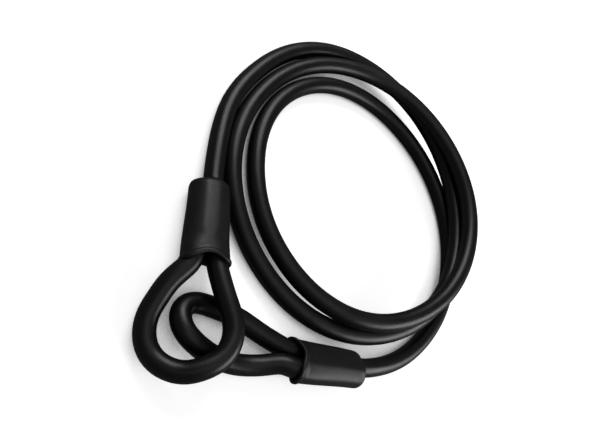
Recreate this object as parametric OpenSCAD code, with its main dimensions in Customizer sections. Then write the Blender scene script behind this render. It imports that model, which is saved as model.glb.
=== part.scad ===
// Looped steel security cable, wound into a loose coil.
//
// A seven-strand wire rope runs the whole length. Each end is doubled back into an eye, clamped by a
// crimped ferrule and covered by a moulded sleeve. A plastic jacket covers the rope everywhere else.
//
// Millimetres. +Z is up, the coil rests on Z = 0 and the origin lies under the middle of the bundle.
// Seen from above, the coil fills the +Y side and both eyes reach out towards -Y.

/* [Cable] */

// Outside diameter of the jacket
cable_d = 12; // [10:0.5:12]

// Outside diameter of the wire rope
rope_d = 7.5; // [5:0.5:7.5]

// Length of rope in which an outer strand goes once round
strand_lay = 480; // [440:20:900]

/* [Coil] */

// Width of the coil, as a part of the usual one
coil_spread = 1; // [1:0.01:1.08]

/* [Sleeves] */

// Length of a sleeve
sleeve_len = 51; // [48:0.5:54]

// Width across the mouth
mouth_w = 28; // [28:0.5:30]

// Width at the shoulder
shoulder_w = 24.5; // [24:0.5:26]

// Thickness through the flat faces
sleeve_t = 18.5; // [17.5:0.5:19]

// Wall round the open mouth
sleeve_wall = 1.6; // [1:0.1:1.6]

// Depth of the open mouth
mouth_depth = 15; // [12:0.5:16]

// How far the flat faces are cut back at the mouth
mouth_cut = 3.5; // [0:0.5:4]

// How far the rim of the mouth stands proud
rim = 0.7; // [0.1:0.1:0.8]

/* [Ferrules] */

// Length of a ferrule
ferrule_len = 24; // [16:1:24]

// Metal outside each bore
ferrule_wall = 2; // [1.2:0.1:2]

// Number of crimped grooves
crimps = 3; // [1:1:4]

// Depth of each crimped groove
crimp_depth = 0.4; // [0.1:0.1:0.8]

/* [Hidden] */

jacket_color = [0.09, 0.09, 0.1];
sleeve_color = [0.2, 0.21, 0.21];
steel_color = [0.62, 0.63, 0.65];
aluminium_color = [0.76, 0.77, 0.78];

// Where each sleeve lies: the middle of its mouth, then its roll, pitch and heading in degrees.
sleeve_a_mouth = [-3.5, -97.5, 16];
sleeve_a_turn = [6, -8, -34];
sleeve_b_mouth = [67.5, -72.5, 13.2];
sleeve_b_turn = [36, -0.5, -127.5];

// The coil leaves each sleeve on this side of its middle, and the cut end lies on the other.
sleeve_a_side = 1;
sleeve_b_side = -1;

// The coil's lay: radius and height of the cable's middle every 45 degrees, clockwise from above.
coil_middle = [-11, 29.5];
coil_start = -60;
coil_row_step = 45;
coil_step = 22.5;
coil_count = 43;
coil_rows = [
    [98, 6],
    [96, 6],
    [112, 8],
    [114.5, 15],
    [111, 18.5],
    [110, 17.5],
    [102.5, 9],
    [91, 6],
    [84, 6],
    [84, 6],
    [97, 12],
    [107.5, 24.5],
    [112, 32],
    [105.5, 28.5],
    [94.5, 18],
    [75.5, 9],
    [67, 6],
    [72, 6],
    [82, 7],
    [95, 6],
    [112.5, 6],
    [124, 6],
    [125, 6],
];

// Guide points of each eye, from the cut end's limb round to the coil's limb.
eye_a_guides = [
    [-5, -117, 11.5],
    [1.5, -127, 8.5],
    [6.5, -135, 6.5],
    [15, -141.5, 6.5],
    [24.5, -143.5, 7.5],
    [33, -141.5, 10.5],
    [40.5, -135.5, 14.5],
    [43.5, -127.5, 19.5],
    [44.5, -116.5, 22.5],
    [40.5, -107.5, 23],
    [32, -100, 22],
    [20.5, -98, 20.5],
];
eye_b_guides = [
    [65.5, -79.5, 15],
    [62.5, -87.5, 10.5],
    [57.5, -96.5, 7.5],
    [51.5, -105, 7],
    [43.5, -112.5, 8.5],
    [36, -118.5, 12],
    [27.5, -123, 14],
    [20, -123.5, 12.5],
    [13.5, -120.2, 10],
    [10.8, -113, 7.5],
    [13.8, -105, 6],
    [22, -97, 6],
    [32, -87.5, 6.5],
    [45.5, -80.5, 7],
];

// The two runs of rope lie side by side in the ferrule and part inside the open mouth.
rope_gap = 3.9;
pass_step = (sleeve_len - 26) / 3;
parting = [
    [-14, 4.9],
    [-8, 6.3],
    [0, 6.7],
];

bore_d = rope_d + 0.2;
hole_d = cable_d + 0.2;
hole_len = 6;
tunnel_w = 20.4;
tunnel_t = 12.6;
shoulder_shift = 1.6;

jacket_sides = 10;
strand_sides = 5;
strand_d = rope_d / 3;
flat_points = 5;
arc_points = 7;

// ---- Vectors and lists ----

function unit(v) = v / norm(v);

function reversed(list) = [for (i = [len(list) - 1 : -1 : 0]) list[i]];

// A point turned as rotate(turn) would turn it.
function turned(p, turn) =
    let (
        a = [p.x, p.y * cos(turn.x) - p.z * sin(turn.x), p.y * sin(turn.x) + p.z * cos(turn.x)],
        b = [a.x * cos(turn.y) + a.z * sin(turn.y), a.y, a.z * cos(turn.y) - a.x * sin(turn.y)]
    )
        [b.x * cos(turn.z) - b.y * sin(turn.z), b.x * sin(turn.z) + b.y * cos(turn.z), b.z];

// ---- The cable's route ----

// Smooth value between b and c, with their neighbours a and d.
function between(a, b, c, d, t) =
    b + t * (c - a) / 2 + t * t * (2 * a - 5 * b + 4 * c - d) / 2 + t * t * t * (3 * b - a - 3 * c + d) / 2;

function coil_row(i) = coil_rows[min(max(i, 0), len(coil_rows) - 1)];

function coil_lay(turn) =
    let (k = turn / coil_row_step, i = floor(k))
        between(coil_row(i - 1), coil_row(i), coil_row(i + 1), coil_row(i + 2), k - i);

// A spline cuts inside its guide points, so the guides stand a little outside the turns.
coil_reach = coil_spread * 6 / (4 + 2 * cos(coil_step));

coil_guides = [
    for (i = [1 : coil_count])
        let (turn = i * coil_step, lay = coil_lay(turn), reach = coil_reach * lay[0])
            [
                coil_middle.x - reach * cos(coil_start + turn),
                coil_middle.y + reach * sin(coil_start + turn),
                max(6, lay[1]) * cable_d / 12,
            ],
];

// One run of rope through a sleeve, towards its mouth, straight for the given number of steps.
function pass(mouth, turn, side, steps) =
    [
        for (k = [steps : -1 : 0]) mouth + turned([-19 - k * pass_step, side * rope_gap, 0], turn),
        for (p = parting) mouth + turned([p[0], side * p[1], 0], turn),
    ];

tail_a = pass(sleeve_a_mouth, sleeve_a_turn, -sleeve_a_side, 4);
main_a = pass(sleeve_a_mouth, sleeve_a_turn, sleeve_a_side, 5);
main_b = pass(sleeve_b_mouth, sleeve_b_turn, sleeve_b_side, 5);
tail_b = pass(sleeve_b_mouth, sleeve_b_turn, -sleeve_b_side, 4);

guides = concat(
    tail_a,
    eye_a_guides,
    reversed(main_a),
    coil_guides,
    main_b,
    reversed(eye_b_guides),
    reversed(tail_b)
);

// Places along the route, counted in guide points.
rope_start = 1;
eye_a_start = len(tail_a) - 2;
eye_a_end = len(tail_a) + len(eye_a_guides) + 1;
coil_from = len(tail_a) + len(eye_a_guides) + len(main_a) - 2 - 0.15;
coil_to = len(tail_a) + len(eye_a_guides) + len(main_a) + len(coil_guides) + 1 + 0.15;
eye_b_start = len(guides) - len(tail_b) - len(eye_b_guides) - 2;
eye_b_end = len(guides) - len(tail_b) + 1;
rope_end = len(guides) - 2;

// Whole guide numbers between two places, with the places themselves at the ends.
function stops(from, to) = concat([from], [for (i = [floor(from) + 1 : ceil(to) - 1]) i], [to]);

function at(u) =
    let (i = floor(u), t = u - i, r = 1 - t)
        (
            r * r * r * guides[i - 1]
            + (3 * t * t * t - 6 * t * t + 4) * guides[i]
            + (3 * r * r * r - 6 * r * r + 4) * guides[i + 1]
            + (t > 0 ? t * t * t * guides[i + 2] : [0, 0, 0])
        ) / 6;

function heading(u) =
    let (i = floor(u), t = u - i, r = 1 - t)
        unit(
            -r * r * guides[i - 1]
            + (3 * t * t - 4 * t) * guides[i]
            + (4 * r - 3 * r * r) * guides[i + 1]
            + (t > 0 ? t * t * guides[i + 2] : [0, 0, 0])
        );

// A ring of points round the route, standing off to one side by "out" at "angle".
function ring(u, radius, sides, out = 0, angle = 0) =
    let (
        ahead = heading(u),
        right = unit(cross(ahead, [0, 0, 1])),
        up = cross(right, ahead),
        middle = at(u) + out * (cos(angle) * right + sin(angle) * up)
    )
        [
            for (i = [0 : sides - 1])
                let (a = 360 * i / sides)
                    middle + radius * (cos(a) * right + sin(a) * up),
        ];

rope_stops = [for (i = [rope_start : rope_end]) i];

// Length of rope from its cut end to each stop.
rope_run = [
    for (
        i = 0, run = 0;
        i < len(rope_stops);
        i = i + 1, run = i < len(rope_stops) ? run + norm(at(rope_stops[i]) - at(rope_stops[i - 1])) : run
    )
        run,
];

// ---- Skins ----

// Two triangles between each pair of neighbouring points of two rings.
function band(first, second, sides) =
    [
        for (i = [0 : sides - 1])
            let (j = (i + 1) % sides, a = first * sides, b = second * sides)
                each [[a + i, b + i, b + j], [a + i, b + j, a + j]],
    ];

// A closed skin through rings that come back to the first one.
module loop_skin(rings) {
    sides = len(rings[0]);
    count = len(rings);
    polyhedron(
        points = [for (r = rings) each r],
        faces = [for (k = [0 : count - 1]) each band(k, (k + 1) % count, sides)],
        convexity = 10
    );
}

// A skin through rings that is closed by a flat face at each end.
module rod_skin(rings) {
    sides = len(rings[0]);
    count = len(rings);
    polyhedron(
        points = [for (r = rings) each r],
        faces = [
            [for (i = [0 : sides - 1]) i],
            for (k = [0 : count - 2]) each band(k, k + 1, sides),
            [for (i = [sides - 1 : -1 : 0]) (count - 1) * sides + i],
        ],
        convexity = 10
    );
}

// ---- Jackets and rope ----

// The tube of plastic between two places on the route.
module jacket(from, to) {
    places = stops(from, to);
    color(jacket_color)
        loop_skin(concat(
            [for (u = places) ring(u, cable_d / 2, jacket_sides)],
            [for (u = reversed(places)) ring(u, bore_d / 2, jacket_sides)]
        ));
}

module coil_jacket() {
    jacket(coil_from, coil_to);
}

module eye_a_jacket() {
    jacket(eye_a_start, eye_a_end);
}

module eye_b_jacket() {
    jacket(eye_b_start, eye_b_end);
}

module core_strand() {
    color(steel_color)
        rod_skin([for (u = rope_stops) ring(u, strand_d / 2, strand_sides)]);
}

// One of the six strands laid round the core.
module outer_strand(number) {
    color(steel_color)
        rod_skin([
            for (i = [0 : len(rope_stops) - 1])
                ring(
                    rope_stops[i],
                    strand_d / 2,
                    strand_sides,
                    strand_d,
                    60 * number + 360 * rope_run[i] / strand_lay
                ),
        ]);
}

module outer_strand_1() {
    outer_strand(1);
}

module outer_strand_2() {
    outer_strand(2);
}

module outer_strand_3() {
    outer_strand(3);
}

module outer_strand_4() {
    outer_strand(4);
}

module outer_strand_5() {
    outer_strand(5);
}

module outer_strand_6() {
    outer_strand(6);
}

// ---- Ferrules ----

module stadium(width, thickness) {
    square([width - thickness, thickness], center = true);
    for (side = [-1, 1])
        translate([side * (width - thickness) / 2, 0])
            circle(d = thickness, $fn = 32);
}

module ferrule(mouth, turn) {
    thickness = bore_d + 2 * ferrule_wall;
    width = thickness + 2 * rope_gap;
    groove = ferrule_len / (3 * crimps + 1);
    color(aluminium_color)
        translate(mouth)
            rotate(turn)
                translate([-sleeve_len + 6, 0, 0])
                    rotate([90, 0, 90])
                        difference() {
                            union() {
                                linear_extrude(ferrule_len)
                                    stadium(width - 2 * crimp_depth, thickness - 2 * crimp_depth);
                                for (i = [0 : crimps])
                                    translate([0, 0, 3 * groove * i])
                                        linear_extrude(i == 0 || i == crimps ? groove : 1.5 * groove)
                                            stadium(width, thickness);
                            }
                            for (side = [-1, 1])
                                translate([side * rope_gap, 0, -1])
                                    cylinder(h = ferrule_len + 2, d = bore_d, $fn = 32);
                        }
}

module ferrule_a() {
    ferrule(sleeve_a_mouth, sleeve_a_turn);
}

module ferrule_b() {
    ferrule(sleeve_b_mouth, sleeve_b_turn);
}

// ---- Sleeves ----

// Points round a section of the sleeve, as [across, up]: two flats joined by round edges.
function section(width, thickness) =
    let (flat = width - thickness)
        [
            for (end = [1, -1]) each [
                for (i = [0 : arc_points - 1])
                    let (a = 90 * (1 - end) - 90 + 180 * i / (arc_points - 1))
                        [end * flat / 2 + thickness / 2 * cos(a), thickness / 2 * sin(a)],
                for (i = [1 : flat_points])
                    [end * flat * (1 / 2 - i / (flat_points + 1)), end * thickness / 2],
            ],
        ];

function round_section(diameter) =
    let (count = 2 * (arc_points + flat_points))
        [
            for (i = [0 : count - 1])
                let (a = 360 * (i - (arc_points - 1) / 2) / count)
                    diameter / 2 * [cos(a), sin(a)],
        ];

// A ring of the sleeve's skin at x, with its flats cut back by "cut".
function sleeve_ring(x, width, thickness, shift = 0, cut = 0) =
    [
        for (p = section(width, thickness))
            [x - cut * pow(cos(min(90, 180 * abs(p.x) / width)), 2), p.x + shift, p.y],
    ];

function hole_ring(x, shift) = [for (p = round_section(hole_d)) [x, p.x + shift, p.y]];

function sleeve_w(x) = mouth_w + (shoulder_w - mouth_w) * (-3 - x) / (sleeve_len - 9);

module sleeve(mouth, turn, side) {
    shift = side * shoulder_shift;
    hollow = mouth_w - 2 * sleeve_wall;
    hollow_t = sleeve_t - 2 * sleeve_wall;
    color(sleeve_color)
        translate(mouth)
            rotate(turn)
                loop_skin([
                    sleeve_ring(-sleeve_len, shoulder_w - 4.3, sleeve_t - 4, 1.3 * shift),
                    sleeve_ring(-sleeve_len + 1, shoulder_w - 2, sleeve_t - 1.8, 1.1 * shift),
                    sleeve_ring(-sleeve_len + 3, shoulder_w - 0.7, sleeve_t - 0.4, shift),
                    sleeve_ring(-sleeve_len + 6, shoulder_w, sleeve_t, shift),
                    sleeve_ring(-sleeve_len / 2, sleeve_w(-sleeve_len / 2), sleeve_t, shift / 2),
                    sleeve_ring(-15, sleeve_w(-15), sleeve_t, shift / 4),
                    sleeve_ring(-9, sleeve_w(-9), sleeve_t, shift / 8, 0.4 * mouth_cut),
                    sleeve_ring(-3, mouth_w, sleeve_t, 0, mouth_cut),
                    sleeve_ring(-2.5, mouth_w + 2 * rim, sleeve_t + 2 * rim, 0, mouth_cut),
                    sleeve_ring(-0.4, mouth_w + 2 * rim, sleeve_t + 2 * rim, 0, mouth_cut),
                    sleeve_ring(0, mouth_w + 2 * rim - 0.8, sleeve_t + 2 * rim - 0.8, 0, mouth_cut),
                    sleeve_ring(0, hollow + 0.8, hollow_t + 0.8, 0, mouth_cut),
                    sleeve_ring(-0.6, hollow, hollow_t, 0, mouth_cut),
                    sleeve_ring(-8, hollow - 0.7, hollow_t, 0, 0.3 * mouth_cut),
                    sleeve_ring(-mouth_depth, hollow - 1.8, hollow_t),
                    sleeve_ring(-mouth_depth - 2.5, tunnel_w, tunnel_t),
                    sleeve_ring(-sleeve_len + hole_len, tunnel_w, tunnel_t),
                    hole_ring(-sleeve_len + hole_len, side * rope_gap),
                    hole_ring(-sleeve_len, side * rope_gap),
                ]);
}

module sleeve_a() {
    sleeve(sleeve_a_mouth, sleeve_a_turn, sleeve_a_side);
}

module sleeve_b() {
    sleeve(sleeve_b_mouth, sleeve_b_turn, sleeve_b_side);
}

// ---- Assembly ----

coil_jacket();
eye_a_jacket();
eye_b_jacket();
core_strand();
outer_strand_1();
outer_strand_2();
outer_strand_3();
outer_strand_4();
outer_strand_5();
outer_strand_6();
ferrule_a();
ferrule_b();
sleeve_a();
sleeve_b();
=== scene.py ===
"""A looped steel security cable in a loose coil, dressed over its CAD frame. Metres, Z up."""

import math

import bpy
from mathutils import Euler, Matrix, Vector


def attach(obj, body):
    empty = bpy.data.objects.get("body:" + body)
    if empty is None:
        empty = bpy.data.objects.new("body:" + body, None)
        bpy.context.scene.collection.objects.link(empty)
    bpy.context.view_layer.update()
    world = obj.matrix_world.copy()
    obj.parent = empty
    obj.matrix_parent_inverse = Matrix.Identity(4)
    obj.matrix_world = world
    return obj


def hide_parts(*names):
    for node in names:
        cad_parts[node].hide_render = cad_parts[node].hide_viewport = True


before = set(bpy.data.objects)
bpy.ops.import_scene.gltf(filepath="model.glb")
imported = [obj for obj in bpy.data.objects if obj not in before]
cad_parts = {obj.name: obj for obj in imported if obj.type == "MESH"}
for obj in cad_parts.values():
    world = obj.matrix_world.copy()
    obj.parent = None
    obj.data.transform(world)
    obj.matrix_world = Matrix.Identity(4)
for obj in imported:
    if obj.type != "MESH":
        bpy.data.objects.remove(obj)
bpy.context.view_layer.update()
MM = 0.001


# ---- Camera: the photograph's angle, fitted to the cable's lie and rolled to stand as it does there ----

CAMERA_TARGET = Vector((-5.2, -7.8, 0.0)) * MM
CAMERA_DISTANCE = 368.6 * MM
CAMERA_ELEVATION = 49.66
CAMERA_ROLL = 64.27
CAMERA_LENS = 33.0


def make_camera():
    elevation = math.radians(CAMERA_ELEVATION)
    roll = math.radians(CAMERA_ROLL)
    back = Vector((0.0, -math.cos(elevation), math.sin(elevation)))
    level_right = Vector((1.0, 0.0, 0.0))
    level_up = back.cross(level_right)
    right = math.cos(roll) * level_right + math.sin(roll) * level_up
    up = -math.sin(roll) * level_right + math.cos(roll) * level_up
    turn = Matrix((right, up, back)).transposed().to_4x4()
    data = bpy.data.cameras.new("camera")
    data.sensor_width = 36.0
    data.lens = CAMERA_LENS
    data.clip_start = 0.01
    camera = bpy.data.objects.new("camera", data)
    camera.matrix_world = Matrix.Translation(CAMERA_TARGET + CAMERA_DISTANCE * back) @ turn
    bpy.context.scene.collection.objects.link(camera)
    bpy.context.scene.camera = camera


# ---- The cable's route, as the CAD source gives it, in millimetres ----

CABLE_D = 12.0
BORE_D = 7.7
SLEEVE_LEN = 51.0

# mouth and turn: where the middle of the mouth is, and roll, pitch and heading in degrees. side: where
# the cable that goes on to the coil lies. label: the side of the crease that the bare label flat is on.
# sunk: how deep it is. crest: from where to where across the sleeve the outside is highest, + on the
# coil's side. falls: how steeply it falls away towards the cut end and towards the coil. fade: where
# along the sleeve, from its closed end, all this turns into the plain mouth. narrows: the crest does too.
SLEEVE_A = {
    "mouth": (-3.5, -97.5, 16.0),
    "turn": (6.0, -8.0, -34.0),
    "side": 1,
    "label": -1,
    "sunk": 0.3,
    "crest": (-3.9, 3.3),
    "falls": (0.26, 0.18),
    "fade": (0.45, 0.95),
    "narrows": True,
}
SLEEVE_B = {
    "mouth": (67.5, -72.5, 13.2),
    "turn": (36.0, -0.5, -127.5),
    "side": -1,
    "label": 1,
    "sunk": 0.9,
    "crest": (-7.6, 14.0),
    "falls": (0.55, 0.0),
    "fade": (0.86, 0.97),
    "narrows": False,
}

# The coil's lay: distance from the middle and height of the cable's middle, row by row in degrees.
COIL_MIDDLE = (-11.0, 29.5)
COIL_START = -60.0
COIL_ROW_STEP = 45.0
COIL_STEP = 22.5
COIL_COUNT = 43
COIL_ROWS = [
    (98, 6), (96, 6), (112, 8), (114.5, 15), (111, 18.5), (110, 17.5), (102.5, 9),
    (91, 6), (84, 6), (84, 6), (97, 12), (107.5, 24.5), (112, 32), (105.5, 28.5),
    (94.5, 18), (75.5, 9), (67, 6), (72, 6), (82, 7), (95, 6), (112.5, 6),
    (124, 6), (125, 6),
]
EYE_A_GUIDES = [
    (-5, -117, 11.5), (1.5, -127, 8.5), (6.5, -135, 6.5), (15, -141.5, 6.5),
    (24.5, -143.5, 7.5), (33, -141.5, 10.5), (40.5, -135.5, 14.5), (43.5, -127.5, 19.5),
    (44.5, -116.5, 22.5), (40.5, -107.5, 23), (32, -100, 22), (20.5, -98, 20.5),
]
EYE_B_GUIDES = [
    (65.5, -79.5, 15), (62.5, -87.5, 10.5), (57.5, -96.5, 7.5), (51.5, -105, 7),
    (43.5, -112.5, 8.5), (36, -118.5, 12), (27.5, -123, 14), (20, -123.5, 12.5),
    (13.5, -120.2, 10), (10.8, -113, 7.5), (13.8, -105, 6), (22, -97, 6),
    (32, -87.5, 6.5), (45.5, -80.5, 7),
]

# Inside a sleeve the two runs of cable lie side by side, then part towards the mouth.
ROPE_GAP = 3.9
PASS_FROM = 19.0
PASS_END = 7.0
PASS_STEP = (SLEEVE_LEN - PASS_FROM - PASS_END) / 3.0
PARTING = [(-14.0, 4.9), (-8.0, 6.3), (0.0, 6.7)]


def sleeve_matrix(sleeve):
    roll, pitch, heading = (math.radians(a) for a in sleeve["turn"])
    turn = Euler((roll, pitch, heading), "XYZ").to_matrix().to_4x4()
    return Matrix.Translation(Vector(sleeve["mouth"])) @ turn


def between(a, b, c, d, t):
    """A smooth value between b and c, with their neighbours a and d."""
    return (
        b
        + t * (c - a) / 2
        + t * t * (2 * a - 5 * b + 4 * c - d) / 2
        + t * t * t * (3 * b - a - 3 * c + d) / 2
    )


def coil_row(i):
    return COIL_ROWS[min(max(i, 0), len(COIL_ROWS) - 1)]


def coil_lay(turn):
    k = turn / COIL_ROW_STEP
    i = math.floor(k)
    rows = [coil_row(i + j) for j in (-1, 0, 1, 2)]
    return [between(*(row[n] for row in rows), k - i) for n in (0, 1)]


def coil_guides():
    """Guides a little outside the turns, because a spline cuts inside its guide points."""
    reach = 6 / (4 + 2 * math.cos(math.radians(COIL_STEP)))
    points = []
    for i in range(1, COIL_COUNT + 1):
        turn = i * COIL_STEP
        radius, height = coil_lay(turn)
        angle = math.radians(COIL_START + turn)
        points.append(
            Vector((
                COIL_MIDDLE[0] - reach * radius * math.cos(angle),
                COIL_MIDDLE[1] + reach * radius * math.sin(angle),
                max(CABLE_D / 2, height),
            ))
        )
    return points


def sleeve_pass(sleeve, side, steps):
    """One run of cable through a sleeve, towards its mouth, straight for the given number of steps."""
    place = sleeve_matrix(sleeve)
    points = [(-PASS_FROM - k * PASS_STEP, side * ROPE_GAP) for k in range(steps, -1, -1)]
    points += [(x, side * y) for x, y in PARTING]
    return [place @ Vector((x, y, 0.0)) for x, y in points]


TAIL_A = sleeve_pass(SLEEVE_A, -SLEEVE_A["side"], 4)
MAIN_A = sleeve_pass(SLEEVE_A, SLEEVE_A["side"], 5)
MAIN_B = sleeve_pass(SLEEVE_B, SLEEVE_B["side"], 5)
TAIL_B = sleeve_pass(SLEEVE_B, -SLEEVE_B["side"], 4)
EYE_A = [Vector(p) for p in EYE_A_GUIDES]
EYE_B = [Vector(p) for p in EYE_B_GUIDES]
COIL = coil_guides()
GUIDES = TAIL_A + EYE_A + MAIN_A[::-1] + COIL + MAIN_B + EYE_B[::-1] + TAIL_B[::-1]

# From where to where along the route each jacket goes, counted in guide points.
EYE_A_SPAN = (len(TAIL_A) - 2, len(TAIL_A) + len(EYE_A) + 1)
COIL_SPAN = (
    len(TAIL_A) + len(EYE_A) + len(MAIN_A) - 2.15,
    len(TAIL_A) + len(EYE_A) + len(MAIN_A) + len(COIL) + 1.15,
)
EYE_B_SPAN = (len(GUIDES) - len(TAIL_B) - len(EYE_B) - 2, len(GUIDES) - len(TAIL_B) + 1)


FINE_STEPS = 40


def spline_at(u):
    i = min(int(math.floor(u)), len(GUIDES) - 3)
    t = u - i
    r = 1 - t
    weights = (r**3, 3 * t**3 - 6 * t * t + 4, 3 * r**3 - 6 * r * r + 4, t**3)
    total = Vector((0.0, 0.0, 0.0))
    for weight, point in zip(weights, GUIDES[i - 1 : i + 3]):
        total += weight * point
    return total / 6


def spline_points(span, step):
    """Points a set distance apart along the route between two places on it, in metres."""
    start, stop = span
    count = int((stop - start) * FINE_STEPS)
    fine = [spline_at(start + (stop - start) * k / count) for k in range(count + 1)]
    run = [0.0]
    for a, b in zip(fine, fine[1:]):
        run.append(run[-1] + (b - a).length)
    total = run[-1]
    rings = max(8, round(total / step))
    points = []
    j = 0
    for k in range(rings + 1):
        want = total * k / rings
        while j < count - 1 and run[j + 1] < want:
            j += 1
        share = (want - run[j]) / max(run[j + 1] - run[j], 1e-9)
        points.append(fine[j].lerp(fine[j + 1], min(1.0, max(0.0, share))) * MM)
    return points, total * MM


# ---- Mesh helpers ----


def new_object(name, verts, faces, material_list, smooth=True):
    mesh = bpy.data.meshes.new(name)
    mesh.from_pydata([tuple(v) for v in verts], [], faces)
    for material in material_list:
        mesh.materials.append(material)
    mesh.validate()
    for polygon in mesh.polygons:
        polygon.use_smooth = smooth
    obj = bpy.data.objects.new(name, mesh)
    bpy.context.scene.collection.objects.link(obj)
    return obj


def cable_tube(name, span, material, cut_material, step=2.2, sides=36):
    """The jacket as an open-ended tube with a real wall, and where it lies along the route."""
    points, length = spline_points(span, step)
    radius = CABLE_D / 2 * MM
    verts = []
    route = []
    previous = None
    count = len(points)
    for k, point in enumerate(points):
        ahead = (points[min(k + 1, count - 1)] - points[max(k - 1, 0)]).normalized()
        if previous is None:
            right = ahead.cross(Vector((0.0, 0.0, 1.0))).normalized()
        else:
            right = (previous - ahead * previous.dot(ahead)).normalized()
        previous = right
        up = right.cross(ahead)
        along = length * k / (count - 1)
        for s in range(sides):
            angle = 2 * math.pi * s / sides
            out = math.cos(angle) * right + math.sin(angle) * up
            verts.append(point + out * radius)
            route.append((math.cos(angle) * radius, math.sin(angle) * radius, along))
    faces = []
    for k in range(count - 1):
        for s in range(sides):
            t = (s + 1) % sides
            a = k * sides
            b = a + sides
            faces.append((a + s, a + t, b + t, b + s))
    outer = len(faces)
    for k, turn in ((0, 1), (count - 1, -1)):
        middle = points[k]
        inner = len(verts)
        for s in range(sides):
            edge = verts[k * sides + s]
            verts.append(middle + (edge - middle) * (BORE_D / CABLE_D))
            x, y, run = route[k * sides + s]
            route.append((x * BORE_D / CABLE_D, y * BORE_D / CABLE_D, run))
        for s in range(sides):
            t = (s + 1) % sides
            face = (k * sides + s, inner + s, inner + t, k * sides + t)
            faces.append(face if turn > 0 else face[::-1])
    obj = new_object(name, verts, faces, [material, cut_material])
    for index in range(outer, len(faces)):
        obj.data.polygons[index].material_index = 1
        obj.data.polygons[index].use_smooth = False
    store = obj.data.attributes.new("route", "FLOAT_VECTOR", "POINT")
    for index, value in enumerate(route):
        store.data[index].vector = value
    return obj, points, length


# ---- Materials ----


class Nodes:
    """A short way to build a material's node tree."""

    def __init__(self, name):
        self.material = bpy.data.materials.new(name)
        self.material.use_nodes = True
        self.tree = self.material.node_tree
        self.tree.nodes.clear()
        self.output = self.add("ShaderNodeOutputMaterial")

    def add(self, kind, **values):
        node = self.tree.nodes.new(kind)
        for key, value in values.items():
            setattr(node, key, value)
        return node

    def link(self, source, target):
        self.tree.links.new(source, target)

    def noise(self, vector, scale, detail=4.0, roughness=0.55, stretch=None):
        if stretch is not None:
            mapping = self.add("ShaderNodeMapping")
            mapping.inputs["Scale"].default_value = stretch
            self.link(vector, mapping.inputs["Vector"])
            vector = mapping.outputs["Vector"]
        node = self.add("ShaderNodeTexNoise")
        node.inputs["Scale"].default_value = scale
        node.inputs["Detail"].default_value = detail
        node.inputs["Roughness"].default_value = roughness
        self.link(vector, node.inputs["Vector"])
        return node.outputs["Fac"]

    def spread(self, value, low, high, to_low, to_high):
        node = self.add("ShaderNodeMapRange")
        node.inputs["From Min"].default_value = low
        node.inputs["From Max"].default_value = high
        node.inputs["To Min"].default_value = to_low
        node.inputs["To Max"].default_value = to_high
        self.link(value, node.inputs["Value"])
        return node.outputs["Result"]

    def math(self, operation, a, b):
        node = self.add("ShaderNodeMath", operation=operation)
        for socket, value in zip(node.inputs, (a, b)):
            if isinstance(value, (int, float)):
                socket.default_value = value
            else:
                self.link(value, socket)
        return node.outputs["Value"]

    def blend(self, factor, first, second):
        node = self.add("ShaderNodeMix", data_type="RGBA")
        self.link(factor, node.inputs["Factor"])
        for name, value in (("A", first), ("B", second)):
            socket = [s for s in node.inputs if s.name == name and s.type == "RGBA"][0]
            if isinstance(value, tuple):
                socket.default_value = (*value, 1.0)
            else:
                self.link(value, socket)
        return [s for s in node.outputs if s.type == "RGBA"][0]

    def bump(self, height, strength, distance, normal=None):
        node = self.add("ShaderNodeBump")
        node.inputs["Strength"].default_value = strength
        node.inputs["Distance"].default_value = distance
        self.link(height, node.inputs["Height"])
        if normal is not None:
            self.link(normal, node.inputs["Normal"])
        return node.outputs["Normal"]

    def surface(self, **values):
        shader = self.add("ShaderNodeBsdfPrincipled")
        for key, value in values.items():
            socket = shader.inputs[key.replace("_", " ").title().replace("Ior", "IOR")]
            if isinstance(value, (int, float)):
                socket.default_value = value
            elif isinstance(value, tuple):
                socket.default_value = (*value, 1.0)
            else:
                self.link(value, socket)
        self.link(shader.outputs["BSDF"], self.output.inputs["Surface"])
        return shader


def jacket_material():
    """Black plasticised vinyl: smooth and a little shiny, drawn lengthwise, with faint handling marks."""
    n = Nodes("jacket_vinyl")
    route = n.add("ShaderNodeAttribute", attribute_name="route").outputs["Vector"]
    cloud = n.noise(route, 60.0, 3.0, 0.6)
    grime = n.noise(route, 420.0, 5.0, 0.65)
    drawn = n.noise(route, 1.0, 3.0, 0.6, (1500.0, 1500.0, 25.0))
    grain = n.noise(route, 5200.0, 2.0, 0.5)
    scuff = n.noise(route, 1.0, 4.0, 0.7, (260.0, 260.0, 900.0))
    tone = n.spread(cloud, 0.3, 0.7, 0.0, 1.0)
    colour = n.blend(tone, (0.0025, 0.0025, 0.0029), (0.0045, 0.0045, 0.0050))
    worn = n.spread(grime, 0.62, 0.8, 0.0, 0.5)
    colour = n.blend(worn, colour, (0.013, 0.013, 0.013))
    rough = n.math("ADD", n.spread(cloud, 0.3, 0.7, 0.32, 0.38), n.spread(scuff, 0.5, 0.8, 0.0, 0.10))
    normal = n.bump(drawn, 0.10, 0.0003)
    normal = n.bump(grain, 0.06, 0.0001, normal)
    normal = n.bump(cloud, 0.25, 0.0006, normal)
    n.surface(base_color=colour, roughness=rough, normal=normal, specular_ior_level=0.4)
    return n.material


def cut_material():
    """The sawn end of a jacket, hidden in its sleeve."""
    n = Nodes("jacket_cut_end")
    where = n.add("ShaderNodeTexCoord").outputs["Object"]
    grain = n.noise(where, 2400.0, 4.0, 0.6)
    colour = n.blend(grain, (0.012, 0.012, 0.013), (0.030, 0.030, 0.030))
    rough = n.spread(grain, 0.3, 0.7, 0.6, 0.8)
    n.surface(base_color=colour, roughness=rough, normal=n.bump(grain, 0.3, 0.0003))
    return n.material


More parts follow.
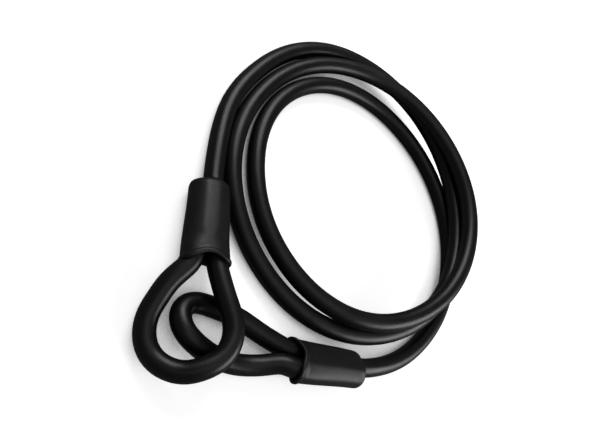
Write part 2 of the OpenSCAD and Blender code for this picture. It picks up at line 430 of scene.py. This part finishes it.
def sleeve_material():
    """Charcoal moulded plastic with a fine etched grain, rubbed a little smoother here and there."""
    n = Nodes("sleeve_plastic")
    where = n.add("ShaderNodeTexCoord").outputs["Object"]
    cloud = n.noise(where, 90.0, 4.0, 0.6)
    flow = n.noise(where, 320.0, 5.0, 0.6)
    etched = n.noise(where, 3600.0, 3.0, 0.6)
    tone = n.spread(cloud, 0.3, 0.7, 0.0, 1.0)
    colour = n.blend(tone, (0.0050, 0.0052, 0.0052), (0.0080, 0.0083, 0.0083))
    speck = n.spread(etched, 0.35, 0.7, 0.0, 0.35)
    colour = n.blend(speck, colour, (0.0035, 0.0036, 0.0036))
    rough = n.math("ADD", n.spread(flow, 0.3, 0.7, 0.36, 0.43), n.spread(etched, 0.3, 0.7, 0.0, 0.08))
    normal = n.bump(etched, 0.25, 0.00015)
    normal = n.bump(flow, 0.15, 0.0004, normal)
    n.surface(base_color=colour, roughness=rough, normal=normal, specular_ior_level=0.4)
    return n.material


def recess_material():
    """The inside of a sleeve: the same plastic, unpolished, and near black as painted shade for the shadowed
    cavity.
    """
    n = Nodes("sleeve_recess")
    where = n.add("ShaderNodeTexCoord").outputs["Object"]
    cloud = n.noise(where, 700.0, 4.0, 0.6)
    colour = n.blend(n.spread(cloud, 0.3, 0.7, 0.0, 1.0), (0.006, 0.006, 0.0065), (0.014, 0.014, 0.015))
    rough = n.spread(cloud, 0.3, 0.7, 0.75, 0.9)
    n.surface(base_color=colour, roughness=rough, normal=n.bump(cloud, 0.3, 0.0003))
    return n.material


def steel_material():
    """Bright drawn wire with a film of oil."""
    n = Nodes("rope_wire")
    where = n.add("ShaderNodeTexCoord").outputs["Object"]
    fine = n.noise(where, 1800.0, 4.0, 0.6)
    film = n.noise(where, 160.0, 4.0, 0.6)
    colour = n.blend(n.spread(film, 0.35, 0.7, 0.0, 1.0), (0.56, 0.57, 0.58), (0.36, 0.34, 0.31))
    rough = n.spread(fine, 0.3, 0.7, 0.28, 0.42)
    n.surface(base_color=colour, metallic=1.0, roughness=rough, normal=n.bump(fine, 0.2, 0.0002))
    return n.material


def aluminium_material():
    """A pressed ferrule: satin, dulled in its grooves."""
    n = Nodes("ferrule_aluminium")
    where = n.add("ShaderNodeTexCoord").outputs["Object"]
    fine = n.noise(where, 2600.0, 4.0, 0.6)
    dull = n.noise(where, 260.0, 4.0, 0.6)
    colour = n.blend(n.spread(dull, 0.35, 0.7, 0.0, 1.0), (0.72, 0.73, 0.74), (0.52, 0.52, 0.53))
    rough = n.spread(fine, 0.3, 0.7, 0.38, 0.52)
    n.surface(base_color=colour, metallic=1.0, roughness=rough, normal=n.bump(fine, 0.2, 0.0002))
    return n.material


# ---- Sleeves ----

MOUTH_W = 28.0
SHOULDER_W = 24.5
SLEEVE_T = 18.5
SLEEVE_WALL = 1.6
MOUTH_DEPTH = 15.0
MOUTH_CUT = 3.5
RIM = 0.7
SHOULDER_SHIFT = 1.6
SHOULDER_LEN = 5.5
SHOULDER_RINGS = 10
END_NARROWER = 5.3
END_THINNER = 5.0
BODY_RINGS = 24
LIP_LEN = 3.0
TAPER_LEN = SLEEVE_LEN - 9.0
CUT_FROM = -20.0
CREASE = 0.3
CREST_NARROWING = 1.4
TUNNEL_W = 20.4
TUNNEL_T = 12.6
HOLE_LEN = 6.0
HOLE_R = 6.1
HOLE_FLARE = 0.3
ROUND = 96
CORNER_POWER = 2.35

# The rolled lip: place along the sleeve, and how proud it stands as a share of RIM.
LIP_PROFILE = [
    (-2.7, 0.25), (-2.4, 0.75), (-1.9, 1.0), (-1.0, 1.0), (-0.4, 0.85),
    (-0.1, 0.5), (0.0, 0.0), (0.0, -0.6), (-0.15, -1.2),
]


def ease(low, high, value):
    t = min(1.0, max(0.0, (value - low) / (high - low)))
    return t * t * (3 - 2 * t)


def stadium_point(width, thickness, share):
    """A point at a share of the way round two flats joined by round edges, by its angle."""
    angle = 2 * math.pi * share
    flat = max(0.0, (width - thickness) / 2)
    half = thickness / 2
    c, s = math.cos(angle), math.sin(angle)
    x = math.copysign(abs(c) ** (2 / CORNER_POWER), c)
    y = math.copysign(abs(s) ** (2 / CORNER_POWER), s)
    return (flat + half) * x, half * y


def sleeve_width(x):
    return MOUTH_W + (SHOULDER_W - MOUTH_W) * (-LIP_LEN - x) / TAPER_LEN


def outer_section(x, width, thickness, sleeve, shift, cut, panel):
    """One oval section. Panel, from 0 to 1, is how much of the label flat and the crest its top has."""
    low, high = sleeve["crest"]
    middle = (low + high) / 2
    reach = (high - low) / 2
    if sleeve["narrows"]:
        reach *= min(1.0, CREST_NARROWING * panel)
    fall_to_cut, fall_to_coil = sleeve["falls"]
    label_top = thickness / 2 - sleeve["sunk"] * panel
    ring = []
    for k in range(ROUND):
        across, up = stadium_point(width, thickness, k / ROUND)
        if up > 0 and panel > 0:
            place = sleeve["side"] * across
            on_label = ease(-CREASE, CREASE, sleeve["label"] * (place - low))
            up -= on_label * max(0.0, up - label_top)
            away = max(0.0, abs(place - middle) - reach)
            fall = fall_to_cut if place < middle else fall_to_coil
            up *= 1 - ease(0.0, 0.5, panel) * fall * away * away / (away + 1.0) / (thickness / 2)
        back = cut * math.cos(min(math.pi / 2, math.pi * abs(across) / width)) ** 2
        ring.append(Vector((x - back, across + shift, up)))
    return ring


def round_section(x, middle, radius):
    ring = []
    for k in range(ROUND):
        angle = 2 * math.pi * k / ROUND
        ring.append(Vector((x, middle + radius * math.cos(angle), radius * math.sin(angle))))
    return ring


def shoulder_rings(sleeve, shift):
    """The rounded closed end."""
    rings = []
    for k in range(SHOULDER_RINGS):
        angle = math.pi / 2 * k / (SHOULDER_RINGS - 1)
        x = -SLEEVE_LEN + SHOULDER_LEN * (1 - math.cos(angle)) ** 1.2
        grow = math.sin(angle)
        width = SHOULDER_W - END_NARROWER * (1 - grow) ** 1.1
        thickness = SLEEVE_T - END_THINNER * (1 - grow) ** 1.1
        rings.append(outer_section(x, width, thickness, sleeve, shift * (1.3 - 0.3 * grow), 0.0, grow))
    return rings


def body_rings(sleeve, shift):
    """The tapered body, from the shoulder to the lip."""
    rings = []
    for k in range(1, BODY_RINGS + 1):
        x = -SLEEVE_LEN + SHOULDER_LEN + (SLEEVE_LEN - SHOULDER_LEN - LIP_LEN) * k / BODY_RINGS
        share = (x + SLEEVE_LEN) / SLEEVE_LEN
        moved = shift * (1 - ease(0.1, 0.9, share))
        cut = MOUTH_CUT * ease(CUT_FROM, -LIP_LEN, x)
        panel = 1 - ease(*sleeve["fade"], share)
        rings.append(outer_section(x, sleeve_width(x), SLEEVE_T, sleeve, moved, cut, panel))
    return rings


def lip_rings(sleeve):
    rings = []
    for x, proud in LIP_PROFILE:
        grow = 2 * RIM * proud
        rings.append(outer_section(x, MOUTH_W + grow, SLEEVE_T + grow, sleeve, 0.0, MOUTH_CUT, 0.0))
    return rings


def recess_rings(sleeve):
    """The open mouth's inside, the tunnel for both runs of cable and the hole to the coil."""
    hollow = MOUTH_W - 2 * SLEEVE_WALL
    hollow_t = SLEEVE_T - 2 * SLEEVE_WALL
    hole_from = -SLEEVE_LEN + HOLE_LEN
    sections = (
        (-0.2, hollow + 0.9, hollow_t + 0.9, MOUTH_CUT),
        (-0.8, hollow, hollow_t, MOUTH_CUT),
        (-8.0, hollow - 0.7, hollow_t, 0.3 * MOUTH_CUT),
        (-MOUTH_DEPTH, hollow - 1.8, hollow_t, 0.0),
        (-MOUTH_DEPTH - 2.0, TUNNEL_W + 0.4, TUNNEL_T + 0.4, 0.0),
        (-MOUTH_DEPTH - 2.5, TUNNEL_W, TUNNEL_T, 0.0),
        (hole_from, TUNNEL_W, TUNNEL_T, 0.0),
    )
    rings = [outer_section(x, width, thick, sleeve, 0.0, cut, 0.0) for x, width, thick, cut in sections]
    middle = sleeve["side"] * ROPE_GAP
    rings.append(round_section(hole_from, middle, HOLE_R))
    rings.append(round_section(-SLEEVE_LEN + 0.4, middle, HOLE_R))
    rings.append(round_section(-SLEEVE_LEN, middle, HOLE_R + HOLE_FLARE))
    return rings


def build_sleeve(name, sleeve, outside, recess):
    """One closed skin of rings: out over the shoulder, body and lip, and back in through the recess."""
    shift = sleeve["side"] * SHOULDER_SHIFT
    rings = shoulder_rings(sleeve, shift) + body_rings(sleeve, shift) + lip_rings(sleeve)
    recess_from = len(rings)
    rings += recess_rings(sleeve)
    place = sleeve_matrix(sleeve)
    verts = [(place @ point) * MM for ring in rings for point in ring]
    faces = []
    tags = []
    for r in range(len(rings)):
        for k in range(ROUND):
            j = (k + 1) % ROUND
            a = r * ROUND
            b = ((r + 1) % len(rings)) * ROUND
            faces.append((a + k, a + j, b + j, b + k))
            tags.append(1 if recess_from <= r < len(rings) - 1 else 0)
    obj = new_object(name, verts, faces, [outside, recess])
    for polygon, tag in zip(obj.data.polygons, tags):
        polygon.material_index = tag
    obj.data.update()
    return obj


# ---- Floor, light and world ----


def floor_material():
    """Plain white paper to the camera, with painted shade that darkens it in the narrow gaps between strands
    and close beside them, and grey to the object.
    """
    n = Nodes("floor_paper")
    where = n.add("ShaderNodeTexCoord").outputs["Object"]
    pulp = n.noise(where, 40.0, 3.0, 0.6)
    colour = n.blend(pulp, (0.19, 0.19, 0.19), (0.21, 0.21, 0.21))
    paper = n.add("ShaderNodeBsdfDiffuse")
    n.link(colour, paper.inputs["Color"])
    # Painted shade: an ambient occlusion reading turns the camera's white paper dark grey in narrow gaps and
    # close beside the cable.
    open_sky = n.add("ShaderNodeAmbientOcclusion", samples=8)
    open_sky.inputs["Distance"].default_value = 0.03
    openness = n.spread(open_sky.outputs["AO"], 0.14, 0.40, 0.0, 1.0)
    paper_with_painted_gap_shade = n.blend(openness, (0.12, 0.12, 0.12), (1.0, 1.0, 1.0))
    seen = n.add("ShaderNodeBsdfDiffuse")
    n.link(paper_with_painted_gap_shade, seen.inputs["Color"])
    glow = n.add("ShaderNodeEmission")
    reach = n.add("ShaderNodeVectorMath", operation="LENGTH")
    n.link(where, reach.inputs[0])
    n.link(n.spread(reach.outputs["Value"], 0.35, 1.3, 0.55, 0.92), glow.inputs["Strength"])
    n.link(paper_with_painted_gap_shade, glow.inputs["Color"])
    both = n.add("ShaderNodeAddShader")
    n.link(seen.outputs["BSDF"], both.inputs[0])
    n.link(glow.outputs["Emission"], both.inputs[1])
    rays = n.add("ShaderNodeLightPath")
    choose = n.add("ShaderNodeMixShader")
    n.link(rays.outputs["Is Camera Ray"], choose.inputs["Fac"])
    n.link(paper.outputs["BSDF"], choose.inputs[1])
    n.link(both.outputs["Shader"], choose.inputs[2])
    n.link(choose.outputs["Shader"], n.output.inputs["Surface"])
    return n.material


def area_light(name, place, target, size, power, size_y=None):
    data = bpy.data.lights.new(name, "AREA")
    data.energy = power
    data.size = size
    if size_y is not None:
        data.shape = "RECTANGLE"
        data.size_y = size_y
    light = bpy.data.objects.new(name, data)
    light.location = place
    aim = Vector(target) - Vector(place)
    light.rotation_euler = aim.to_track_quat("-Z", "Y").to_euler()
    bpy.context.scene.collection.objects.link(light)
    return light


FLOOR_HALF = 6.0
FLOOR_TOP = -0.0003


def make_floor():
    half = FLOOR_HALF
    floor = new_object(
        "floor",
        [(x, y, FLOOR_TOP) for x, y in ((-half, -half), (half, -half), (half, half), (-half, half))],
        [(0, 1, 2, 3)],
        [floor_material()],
        smooth=False,
    )


def make_world():
    """Faint white light on the object, and plain white behind it for the camera."""
    world = bpy.data.worlds.new("studio")
    world.use_nodes = True
    nodes = world.node_tree.nodes
    nodes["Background"].inputs["Color"].default_value = (1.0, 1.0, 1.0, 1.0)
    nodes["Background"].inputs["Strength"].default_value = 0.10
    seen = nodes.new("ShaderNodeBackground")
    seen.inputs["Color"].default_value = (1.0, 1.0, 1.0, 1.0)
    rays = nodes.new("ShaderNodeLightPath")
    choose = nodes.new("ShaderNodeMixShader")
    links = world.node_tree.links
    links.new(rays.outputs["Is Camera Ray"], choose.inputs["Fac"])
    links.new(nodes["Background"].outputs["Background"], choose.inputs[1])
    links.new(seen.outputs["Background"], choose.inputs[2])
    links.new(choose.outputs["Shader"], nodes["World Output"].inputs["Surface"])
    bpy.context.scene.world = world


def make_lights():
    area_light("softbox_right", (0.78, 0.30, 0.42), (0.0, 0.0, 0.0), 0.75, 5.4, 0.45)
    area_light("softbox_far", (-0.62, 0.30, 0.66), (0.0, 0.0, 0.0), 0.60, 4.2, 0.50)
    area_light("softbox_top", (0.10, -0.15, 1.30), (0.0, 0.0, 0.0), 1.2, 2.0)


# ---- Everything in its place ----

make_camera()

jacket = jacket_material()
cut_end = cut_material()

for label, span, node, lay in (
    ("cable_coil", COIL_SPAN, "coil_jacket", "coiled"),
    ("cable_eye_a", EYE_A_SPAN, "eye_a_jacket", "loose"),
    ("cable_eye_b", EYE_B_SPAN, "eye_b_jacket", "loose"),
):
    tube, centre, length = cable_tube(label, span, jacket, cut_end)
    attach(tube, "root")
    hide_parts(node)

outside = sleeve_material()
# The recess finish is near black as painted shade for the sleeves' shadowed insides.
recess = recess_material()
for label, sleeve in (("sleeve_a", SLEEVE_A), ("sleeve_b", SLEEVE_B)):
    piece = build_sleeve("moulded_" + label, sleeve, outside, recess)
    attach(piece, "root")
    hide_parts(label)

steel = steel_material()
aluminium = aluminium_material()
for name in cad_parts:
    obj = bpy.data.objects.get(name)
    if obj is None:
        continue
    if "strand" in name:
        finish = steel
    elif "ferrule" in name:
        finish = aluminium
    else:
        continue
    for slot in obj.material_slots:
        slot.material = finish

make_floor()
make_world()
make_lights()
bpy.context.scene.view_settings.view_transform = "Standard"
